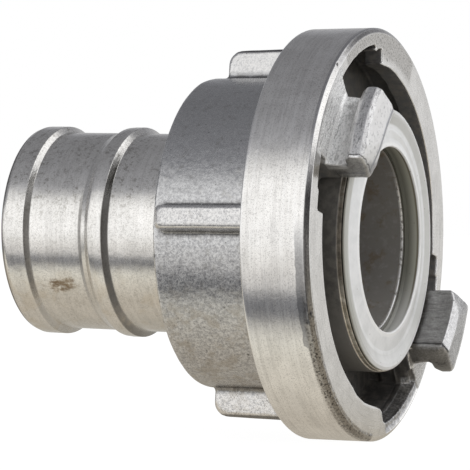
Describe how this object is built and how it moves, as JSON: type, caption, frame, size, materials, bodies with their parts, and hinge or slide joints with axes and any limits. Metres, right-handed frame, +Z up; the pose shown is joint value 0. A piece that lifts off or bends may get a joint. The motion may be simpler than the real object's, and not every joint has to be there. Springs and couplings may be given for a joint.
{
  "type": "claw hose coupling",
  "caption": "Symmetrical claw-type twist-lock hose coupling: a ribbed head with hooked claws swivels on a beaded hose tail that carries a moulded face seal.",
  "frame": {"origin": "on the coupling axis, in the plane of the rim's machined front face, which is the plane of the claw interface", "axes": "+X along the coupling axis, out of the mating face towards the other coupling; +Z up; the hose tail points along -X"},
  "size_m": [0.0988, 0.098, 0.098],
  "materials": {
    "cast_aluminium": "bead-blasted casting with machined faces",
    "turned_aluminium": "fine turned",
    "spring_steel": "plain spring steel",
    "white_rubber": "moulded, matt"
  },
  "bodies": {
    "tail": {"hose_tail": "turned_aluminium", "locking_ring": "spring_steel", "seal_ring": "white_rubber"},
    "head": {"coupling_head": "cast_aluminium"}
  },
  "joints": [
    {"name": "head_swivel", "type": "hinge", "parent": "tail", "child": "head", "pos_m": [-0.0145, 0, 0], "axis": [1, 0, 0], "continuous": true}
  ]
}
